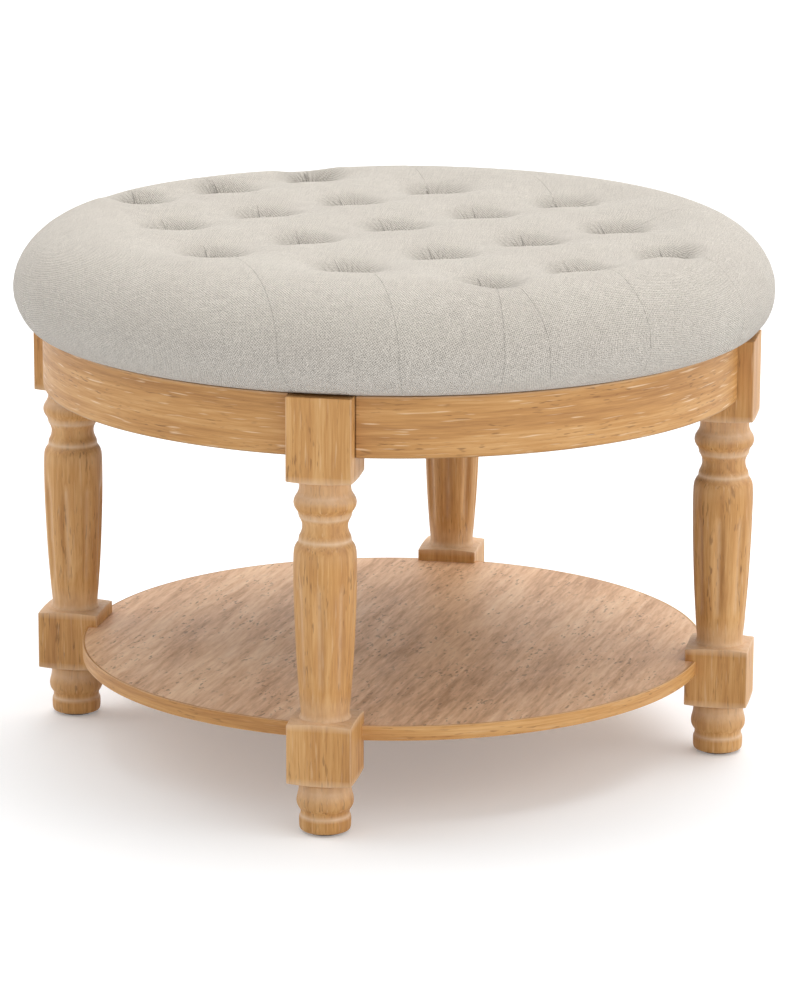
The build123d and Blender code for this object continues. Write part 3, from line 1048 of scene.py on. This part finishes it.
def cushion_start():
    """The dome with even faces, a little too small, with its buttons pulled in by a third."""
    bm = bmesh.new()
    points = outline(DOME_SHRINK)
    points.append((HEM_RADIUS, cover_low.z + FLOAT))
    points.append((HEM_RADIUS - HEM_DEPTH, cover_low.z + HEM_DEPTH))
    points.append((0.0, cover_low.z + HEM_DEPTH))
    verts, edges = line_of(bm, points)
    spin_round(bm, verts + edges, DOME_STEPS, DOME_MERGE)
    bmesh.ops.recalc_face_normals(bm, faces=bm.faces)
    piece = new_object(bm, "tufted_cushion")
    even = piece.modifiers.new("even", "REMESH")
    even.mode = "VOXEL"
    even.voxel_size = DOME_VOXEL
    apply_modifiers(piece)
    started = pressed(dished(places_of(piece.data)), START_SHARE)
    piece.data.vertices.foreach_set("co", started.ravel())
    return piece


cushion = cushion_start()
print("Dome vertices:", len(cushion.data.vertices))

# %% [markdown]
# Wadding swells between the buttons that hold it down. It could be pushed up with a brush in
# sculpt mode, but the cloth modifier has a setting for air pressure that does it evenly. The
# places at the buttons and along the hem are pinned, air comes in for twenty frames, and the
# result is applied. Each place's move is capped, so that the cover keeps its CAD size.

# %% Blow the cushion up
CLOTH_FRAMES = 20


def inflate(piece):
    """Runs the cloth under pressure, held at the group of buttons and hem."""
    cloth = piece.modifiers.new("cloth", "CLOTH")
    cloth.settings.quality = 6
    cloth.settings.mass = 0.3
    cloth.settings.tension_stiffness = 12
    cloth.settings.compression_stiffness = 12
    cloth.settings.shear_stiffness = 6
    cloth.settings.bending_stiffness = 0.8
    cloth.settings.vertex_group_mass = "held"
    cloth.settings.use_pressure = True
    cloth.settings.uniform_pressure_force = 4
    cloth.settings.effector_weights.gravity = 0
    cloth.collision_settings.use_collision = False
    cloth.point_cache.frame_start = 1
    cloth.point_cache.frame_end = CLOTH_FRAMES
    for number in range(1, CLOTH_FRAMES + 1):
        scene.frame_set(number)
    apply_modifiers(piece)
    scene.frame_set(1)


# %% Round the cushion
HELD_REACH = 9 * MM
HELD_HEM = 5 * MM
CLOTH_CAP = 7 * MM
CAP_START = 40 * MM
CAP_RISE = 40 * MM
LEAST_CAP_SHARE = 0.15


def simulate(piece):
    """Rounds the cushion, and keeps each place from going too far, least of all at a tuft."""
    start = places_of(piece.data)
    gap = tuft_gaps(start).min(axis=1)
    held = (gap < HELD_REACH) & (start[:, 2] > WIDEST)
    held |= start[:, 2] < cover_low.z + HELD_HEM
    group = piece.vertex_groups.new(name="held")
    group.add([int(number) for number in np.flatnonzero(held)], 1.0, "REPLACE")
    inflate(piece)
    move = places_of(piece.data) - start
    length = np.linalg.norm(move, axis=1)
    print("Cloth moved", round(float(length.mean()) / MM, 1), "mm on average, most",
          round(float(length.max()) / MM, 1), "mm")
    rise = (1 - LEAST_CAP_SHARE) * eased((gap - CAP_START) / CAP_RISE)
    cap = CLOTH_CAP * (LEAST_CAP_SHARE + rise)
    move *= (np.minimum(length, cap) / np.maximum(length, 1e-9))[:, None]
    piece.data.vertices.foreach_set("co", (start + move).ravel())


simulate(cushion)
smooth_once(cushion)
apply_modifiers(cushion)
print("Cushion vertices:", len(cushion.data.vertices))

# %% [markdown]
# Beside a button the cloth falls steeply, so the faces there are split once more before the
# funnels get their full depth. The cloth also folds. Short folds dive into every tuft along the
# diamonds' lines, and long pleats run on from the outer tufts over the side to the hem. A fold
# could be a groove in the bump alone, but then it would be missing from the mesh, so each one
# is a narrow valley with a soft ridge beside it.

# %% Split and hold
SPLIT_REACH = 24 * MM


def split_near_tufts(piece):
    """Splits the faces round each tuft once more."""
    bm = bmesh.new()
    bm.from_mesh(piece.data)
    gaps = tuft_gaps(np.array([vert.co for vert in bm.verts])).min(axis=1)
    near = {
        vert for vert, gap in zip(bm.verts, gaps) if gap < SPLIT_REACH and vert.co.z > WIDEST
    }
    edges = [edge for edge in bm.edges if edge.verts[0] in near and edge.verts[1] in near]
    bmesh.ops.subdivide_edges(bm, edges=edges, cuts=1, use_grid_fill=True)
    bm.to_mesh(piece.data)
    bm.free()


def hold_inside(places):
    """Draws what has swollen past the CAD cover back onto it."""
    radius = plan_radius(places)
    height = places[:, 2]
    crown = height >= WIDEST
    middle = np.where(crown, CROWN_EDGE, CUSHION_RADIUS - ROLL)
    wide = np.where(crown, CROWN_DEPTH, ROLL)
    tall = np.where(crown, CROWN_HEIGHT + CROWN_RISE / 2, ROLL)
    across = np.maximum(radius - middle, 0) / wide
    up = (height - WIDEST) / tall
    excess = np.maximum(np.hypot(across, up), 1.0)
    out = places.copy()
    new_radius = np.minimum(radius, middle) + across / excess * wide
    out[:, :2] *= (new_radius / radius)[:, None]
    out[:, 2] = np.maximum(WIDEST + up / excess * tall, cover_low.z + FLOAT)
    return out


split_near_tufts(cushion)
base = hold_inside(places_of(cushion.data))
print("Cushion faces:", len(cushion.data.polygons))

# %% Lines of the folds
# The long pleats: which tuft they leave and in which direction, in degrees
PLEATS = [
    (0, -38), (0, -70), (1, -40), (2, -12), (3, -63), (6, 47), (7, -62), (11, 118), (12, -132),
    (15, 116), (16, 168), (17, 140), (18, 142), (18, 110),
]
PLEAT_LENGTH = 600 * MM
PLEAT_STRENGTH = 0.26
# The short folds of every tuft: direction and strength
SHORT_FOLDS = [(121, 1.0), (-59, 0.5), (165, 0.45), (-15, 0.4), (48, 0.35), (228, 0.35)]
SHORT_FOLD = 36 * MM
FOLD_SWAY = 7
UNDER_SPREAD_SHARE = 0.4


def fold_lines():
    """Every fold: where it starts, its direction, how long it is and how strong."""
    lines = [
        (mouths[number, :2], math.radians(turn), PLEAT_LENGTH, PLEAT_STRENGTH)
        for number, turn in PLEATS
    ]
    for number, mouth in enumerate(mouths):
        for order, (turn, strength) in enumerate(SHORT_FOLDS):
            sway = FOLD_SWAY * math.sin(2.3 * number + 1.7 * order)
            lines.append((mouth[:2], math.radians(turn + sway), SHORT_FOLD, strength))
    return lines


def unrolled_plan(places):
    """Plan places, except that the lower side goes on outward instead of back in."""
    radius = plan_radius(places)
    below = np.maximum(WIDEST - places[:, 2], 0)
    spread = np.where(below > 0, CUSHION_RADIUS + UNDER_SPREAD_SHARE * below, radius)
    return places[:, :2] * (spread / radius)[:, None]


print("Folds:", len(PLEATS), "long and", len(SHORT_FOLDS) * len(tufts), "short")

# %% Find each place's fold
FOLD_REACH = 9 * MM
FOLD_START = 5 * MM
FOLD_FADE = 4 * MM
FOLD_END_SHARE = 0.6
LEAST_STRENGTH = 0.02


def fold_field(places):
    """Signed distance of each place from its nearest fold, and how much that fold counts."""
    plan = unrolled_plan(places)
    offset = np.full(len(plan), FOLD_REACH)
    amount = np.zeros(len(plan))
    for start, turn, length, strength in fold_lines():
        away = plan - start
        along = away[:, 0] * math.cos(turn) + away[:, 1] * math.sin(turn)
        across = away[:, 1] * math.cos(turn) - away[:, 0] * math.sin(turn)
        fade = np.clip((along - FOLD_START) / FOLD_FADE, 0, 1)
        fade = fade * np.clip((length - along) / (length * FOLD_END_SHARE), 0, 1)
        weight = strength * fade * np.clip((FOLD_REACH - np.abs(across)) / FOLD_FADE, 0, 1)
        better = (weight > LEAST_STRENGTH) & (np.abs(across) < np.abs(offset))
        offset[better] = across[better]
        amount[better] = weight[better]
    return offset, amount * (places[:, 2] > cover_low.z + HEM_DEPTH)


offset, amount = fold_field(base)
print("Places in a fold:", int((amount > 0).sum()))

# %% Valleys and ridges
# Height and width of the valley, and of the ridge that runs beside it
VALLEY = (0.8 * MM, 2.2 * MM)
RIDGE = (0.5 * MM, 3 * MM)
RIDGE_PLACE = 4 * MM


def swell(distance, height, width):
    """A soft bump of some height and width."""
    return height * np.exp(-(distance / width) ** 2)


def fold_cloth(places, offset, amount):
    """A narrow valley along each fold with a soft ridge on one side of it."""
    rise = swell(offset - RIDGE_PLACE, *RIDGE) - swell(offset, *VALLEY)
    radius = plan_radius(places)
    side = np.clip((radius - CROWN_EDGE) / CROWN_DEPTH, 0, 1)
    lean = np.clip((places[:, 2] - WIDEST) / CROWN_HEIGHT, -1, 1)
    out = places[:, :2] / radius[:, None] * side[:, None]
    normal = np.column_stack([out, lean])
    normal /= np.maximum(np.linalg.norm(normal, axis=1), 1e-9)[:, None]
    return places + normal * (rise * amount)[:, None]


# %% Gather and fold the cloth
GATHER = 0.30 * MM
# How far from a button the ripples begin, are full, start to fade and end
GATHER_BAND = (8 * MM, 14 * MM, 18 * MM, 34 * MM)


def gather_cloth(places, gaps, nearest):
    """Soft ripples that run down into each tuft."""
    away = places[:, :2] - mouths[nearest, :2]
    angle = np.arctan2(away[:, 1], away[:, 0])
    ripple = np.sin(9 * angle + 2.1 * nearest) + 0.6 * np.sin(14 * angle + 0.9 * nearest)
    band = np.interp(gaps, GATHER_BAND, (0, 1, 1, 0))
    depth = GATHER * ripple * band * (places[:, 2] > WIDEST)
    return places - uprights[nearest] * depth[:, None]


gaps = tuft_gaps(base)
nearest = gaps.argmin(axis=1)
gaps = gaps.min(axis=1)
shaped = pressed(base, 1 - START_SHARE)
shaped = gather_cloth(shaped, gaps, nearest)
shaped = fold_cloth(shaped, offset, amount)
shaped[:, 2] = np.maximum(shaped[:, 2], cover_low.z + FLOAT)
cushion.data.vertices.foreach_set("co", shaped.ravel())
cushion.data.update()
print("Cushion from", round(float(shaped[:, 2].min()), 4), "to", round(float(shaped[:, 2].max()), 4))

# %% [markdown]
# The linen has to know where each place of the mesh would lie on the flat cloth, or its threads
# would stretch over the side. An unwrapped map would cut the cushion into patches, so the flat
# place is worked out from the dome's outline and kept on each vertex, beside the distance to
# the nearest fold and tuft.


# %% Keep the cloth's places
def laid_flat(places):
    """Where each place lies once the cover is laid flat, in metres."""
    radius = plan_radius(places)
    line = np.array(outline())
    length = np.concatenate([[0], np.cumsum(np.hypot(*np.diff(line, axis=0).T))])
    turn = np.arctan2(line[:, 1] - WIDEST, line[:, 0] - CROWN_EDGE)
    edge = line[:, 0] > CROWN_EDGE - TOUCH
    angle = np.arctan2(places[:, 2] - WIDEST, np.maximum(radius - CROWN_EDGE, TOUCH))
    around = np.interp(-angle, -turn[edge], length[edge])
    flat = np.where(radius > CROWN_EDGE, around, radius)
    return places * np.array([1, 1, 0]) * (flat / radius)[:, None]


def keep(mesh, name, values):
    """Stores numbers or vectors on the vertices for the material."""
    kind = "FLOAT_VECTOR" if values.ndim == 2 else "FLOAT"
    layer = mesh.attributes.new(name, kind, "POINT")
    layer.data.foreach_set("vector" if values.ndim == 2 else "value", values.ravel())


FAR = 1.0
keep(cushion.data, "cloth", laid_flat(base))
keep(cushion.data, "fold", offset)
keep(cushion.data, "fold_amount", amount)
keep(cushion.data, "tuft_gap", np.where(base[:, 2] > WIDEST, gaps, FAR))
keep(cushion.data, "tuft_away", (base - mouths[nearest]) * np.array([1, 1, 0]))
print("Kept on", cushion.name, "as", len(base), "numbers or vectors each")

# %% [markdown]
# The cover is a plain, light linen. Its threads are a little over a millimetre thick and of
# uneven thickness. They show most where the light grazes them, so they are mainly bump and only
# a little colour. Shade is painted into the colour in the tufts' pockets and along the folds,
# where little light gets in.

# %% Linen threads
LINEN = (0.745, 0.705, 0.64)
SOILED = (0.60, 0.55, 0.50)
WEAVE = 2.5 * MM
WANDER = 1.6 * MM


def waves(tree, coordinate, length):
    """A grey wave of some length along a coordinate."""
    return sums(tree, "SINE", times(tree, coordinate, math.tau / length))


def thread_height(tree, cloth):
    """The weave's relief: crossing threads that wander, grit and long slubs both ways."""
    wander = put(tree, "ShaderNodeTexNoise", Vector=cloth, Scale=260, Detail=2.0).outputs["Color"]
    shift = put(tree, "ShaderNodeVectorMath", {"operation": "SCALE"}, _0=wander, Scale=WANDER)
    threads = put(
        tree, "ShaderNodeVectorMath", {"operation": "ADD"}, _0=cloth, _1=shift.outputs[0]
    ).outputs[0]
    split = put(tree, "ShaderNodeSeparateXYZ", Vector=threads).outputs
    crossing = times(tree, waves(tree, split["X"], WEAVE), waves(tree, split["Y"], WEAVE), 0.5)
    knots = sums(tree, "ADD", crossing, 0.5)
    grit = noise(tree, cloth, 900, 2, 0.6)
    slubs = sums(
        tree, "ADD", noise(tree, stretched(tree, cloth, (700, 50, 1)), 1, 2),
        noise(tree, stretched(tree, cloth, (50, 700, 1)), 1, 2),
    )
    return weighted(tree, (knots, 0.45), (grit, 0.6), (slubs, 0.25))


print("Threads", WEAVE / 2 / MM, "mm thick")

# %% Linen colour
# Painted shade in a tuft's pocket and along a fold: full at the first distance, gone at the second
POCKET_REACH = (8 * MM, 38 * MM)
POCKET_SHADE = 0.55
CREASE_REACH = (0.15 * MM, 0.65 * MM)
CREASE_SHADE = 0.45


def linen_colour(tree, cloth, height, crease):
    """Light linen, a little dirtier in patches, with painted shade in the pockets and creases."""
    colour = ramp(tree, level(tree, height, 0.55, 1.05), [
        (0.0, toned(LINEN, 0.60)), (0.5, LINEN), (1.0, toned(LINEN, 1.18)),
    ])
    broad = noise(tree, stretched(tree, cloth, (9, 9, 1)), 1, 3)
    colour = covered(tree, colour, level(tree, broad, 0.35, 0.65, 0.0, 0.22), SOILED)
    # Painted shade in each tuft's pocket, darkest beside its button
    pocket = level(tree, attribute(tree, "tuft_gap"), *POCKET_REACH, 0.62, 0.0)
    colour = covered(tree, colour, pocket, toned(LINEN, POCKET_SHADE))
    # Painted shade along the creases of the folds
    return covered(tree, colour, times(tree, crease, 0.6), toned(LINEN, CREASE_SHADE))


# %% Gathers in the bump
GATHERS_PER_RADIAN = 31.0
GATHER_START = (6 * MM, 12 * MM)
GATHER_END = (22 * MM, 34 * MM)


def gather_height(tree, cloth):
    """Fine gathers that run into each tuft, between its button and its mouth."""
    away = attribute(tree, "tuft_away", "Vector")
    away = put(tree, "ShaderNodeSeparateXYZ", Vector=away).outputs
    gap = attribute(tree, "tuft_gap")
    angle = sums(tree, "ARCTAN2", away["Y"], away["X"])
    angle = sums(tree, "ADD", angle, times(tree, noise(tree, cloth, 60, 1), 0.5))
    inner = level(tree, gap, *GATHER_START)
    outer = level(tree, gap, *GATHER_END, 1.0, 0.0)
    gathers = sums(tree, "SINE", times(tree, angle, GATHERS_PER_RADIAN))
    return times(tree, gathers, times(tree, inner, outer))


# %% Linen
LINEN_DEPTH = 2.3 * MM


def linen():
    """The cover's cloth."""
    paint, tree, shader = new_paint("light_linen")
    cloth = attribute(tree, "cloth", "Vector")
    height = thread_height(tree, cloth)
    offset = sums(tree, "ABSOLUTE", attribute(tree, "fold"))
    crease = level(tree, offset, *CREASE_REACH, 1.0, 0.0)
    crease = times(tree, crease, attribute(tree, "fold_amount"))
    colour = linen_colour(tree, cloth, height, crease)
    height = sums(tree, "ADD", height, times(tree, gather_height(tree, cloth), 0.2))
    height = sums(tree, "SUBTRACT", height, times(tree, crease, 1.2))
    shader.inputs["Specular IOR Level"].default_value = 0.15
    shader.inputs["Sheen Weight"].default_value = 0.10
    shader.inputs["Sheen Roughness"].default_value = 0.5
    finish_paint(tree, shader, colour, 0.9, height, 1.0, LINEN_DEPTH)
    return paint


light_linen = linen()
print("Linen nodes:", len(light_linen.node_tree.nodes))


# %% Dress the cushion
def dress(piece, replaced):
    """Linen and smooth shading on a soft piece, which then stands for CAD nodes."""
    piece.data.materials.clear()
    piece.data.materials.append(light_linen)
    for face in piece.data.polygons:
        face.use_smooth = True
    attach(piece, "root")
    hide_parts(*replaced)


dress(cushion, ["cushion_cover", "foam_pad"])
print(cushion.name, "is dressed")

# %% [markdown]
# The buttons are small domes covered in the same linen, each seated square to its funnel. They
# could be nineteen objects, but they are all alike, so one is spun from an outline and copied
# into every tuft, and the nineteen together are one piece.

# %% Buttons
# Radius and height in millimetres
BUTTON_OUTLINE = [(0, 4.0), (3.2, 3.7), (5.8, 2.8), (7.4, 1.4), (8.0, 0.2), (7.6, -0.8), (0, -0.8)]
BUTTON_STEPS = 24
BUTTON_LIFT = 1 * MM


def verts_in(parts):
    """The vertices among a bmesh's parts."""
    return [part for part in parts if isinstance(part, bmesh.types.BMVert)]


def button_shapes():
    """Nineteen buttons, each at the bottom of its tuft."""
    bm = bmesh.new()
    verts, edges = line_of(bm, [(across * MM, up * MM) for across, up in BUTTON_OUTLINE])
    spin_round(bm, verts + edges, BUTTON_STEPS)
    bmesh.ops.recalc_face_normals(bm, faces=bm.faces)
    first = [*bm.verts, *bm.edges, *bm.faces]
    for mouth, upright in tufts:
        moved = verts_in(bmesh.ops.duplicate(bm, geom=first)["geom"])
        turn = upright.to_track_quat("Z", "Y").to_matrix()
        bmesh.ops.rotate(bm, verts=moved, cent=(0, 0, 0), matrix=turn)
        bmesh.ops.translate(bm, verts=moved, vec=mouth - upright * (TUFT_DEPTH - BUTTON_LIFT))
    bmesh.ops.delete(bm, geom=verts_in(first))
    return bm


buttons = new_object(button_shapes(), "covered_buttons")
button_places = places_of(buttons.data)
keep(buttons.data, "cloth", button_places)
keep(buttons.data, "fold", np.full(len(button_places), FAR))
keep(buttons.data, "fold_amount", np.zeros(len(button_places)))
keep(buttons.data, "tuft_gap", np.full(len(button_places), FAR))
keep(buttons.data, "tuft_away", button_places)
dress(buttons, ["tuft_buttons"])
print("Buttons:", len(tufts), "of radius", max(across for across, _ in BUTTON_OUTLINE), "mm")

# %% [markdown]
# The pieces left from the CAD model are those that the photograph doesn't show: softwood corner
# blocks, the plywood seat board, bolts, screws, glides and the lining under the seat. They could
# be modelled again, but nobody looks at them closely, so they keep their CAD shapes and only get
# materials, each a small pattern of its own kind of stuff.


# %% Finishes of the hidden pieces
def mottled(name, colour, scale, spread, rough, metal=0.0):
    """A material of one colour with uneven patches, worn spots and a fine bump."""
    paint, tree, shader = new_paint(name)
    place = object_places(tree)
    fine = noise(tree, stretched(tree, place, (scale, scale, scale)), 1, 2, 0.6)
    tone = weighted(tree, (noise(tree, place, scale / 8, 3), 0.5), (fine, 0.5))
    stops = [(0.35, toned(colour, 1 - spread)), (0.65, toned(colour, 1 + spread))]
    worn = level(tree, tone, 0.35, 0.65, rough + 0.08, rough - 0.08)
    shader.inputs["Metallic"].default_value = metal
    finish_paint(tree, shader, ramp(tree, tone, stops), worn, fine, 0.4, 0.3 * MM)
    return paint


def woven(name, colour, thread, lean=0.0):
    """A material of crossing threads, or of one leaning twist where lean is given."""
    paint, tree, shader = new_paint(name)
    place = object_places(tree)
    split = put(tree, "ShaderNodeSeparateXYZ", Vector=place).outputs
    slant = times(tree, split["Z"], lean)
    down, across = (
        waves(tree, sums(tree, "ADD", split[axis], slant), thread) for axis in ("X", "Y")
    )
    height = sums(tree, "ADD", times(tree, down, across, 0.3), noise(tree, place, 700))
    stops = [(0.0, toned(colour, 0.6)), (1.0, toned(colour, 1.3))]
    tint = ramp(tree, level(tree, height, 0.2, 0.8), stops)
    rough = level(tree, height, 0.2, 0.8, 0.95, 0.8)
    finish_paint(tree, shader, tint, rough, height, 0.6, 0.5 * MM)
    return paint


print("Two more kinds of finish: mottled and woven")

# %% Hidden pieces
SOFTWOOD = ((0.50, 0.34, 0.18), (0.64, 0.46, 0.27), (0.74, 0.57, 0.36))
PLYWOOD = ((0.46, 0.32, 0.18), (0.60, 0.44, 0.26), (0.70, 0.54, 0.35))
softwood = wood("softwood", SOFTWOOD, along=2, flecks=0.1)
tenon_wood = wood("tenon_wood", golden, along=0, flecks=0.1)
plywood = wood("plywood", PLYWOOD, along=0, flecks=0.1)
steel = mottled("zinc_steel", (0.58, 0.58, 0.56), 1500, 0.15, 0.38, metal=1.0)
lining = woven("black_lining", (0.060, 0.060, 0.062), 1.6 * MM)
twine = woven("button_twine", (0.72, 0.68, 0.60), 1.0 * MM, lean=0.8)
plastic = mottled("grey_plastic", (0.16, 0.15, 0.14), 900, 0.2, 0.5)
pale_plastic = mottled("pale_plastic", (0.75, 0.74, 0.69), 900, 0.12, 0.45)
HIDDEN = {
    "right_corner_block": softwood, "back_corner_block": softwood, "left_corner_block": softwood,
    "front_corner_block": softwood, "apron_tenons": tenon_wood, "seat_board": plywood,
    "hanger_bolts": steel, "bolt_washers": steel, "bolt_nuts": steel, "seat_screws": steel,
    "dust_cover": lining, "tuft_ties": twine, "foot_glides": plastic, "tuft_anchors": pale_plastic,
}
for node, paint in HIDDEN.items():
    mesh = bpy.data.objects[node].data
    mesh.materials.clear()
    mesh.materials.append(paint)
print("Hidden pieces given materials:", len(HIDDEN))
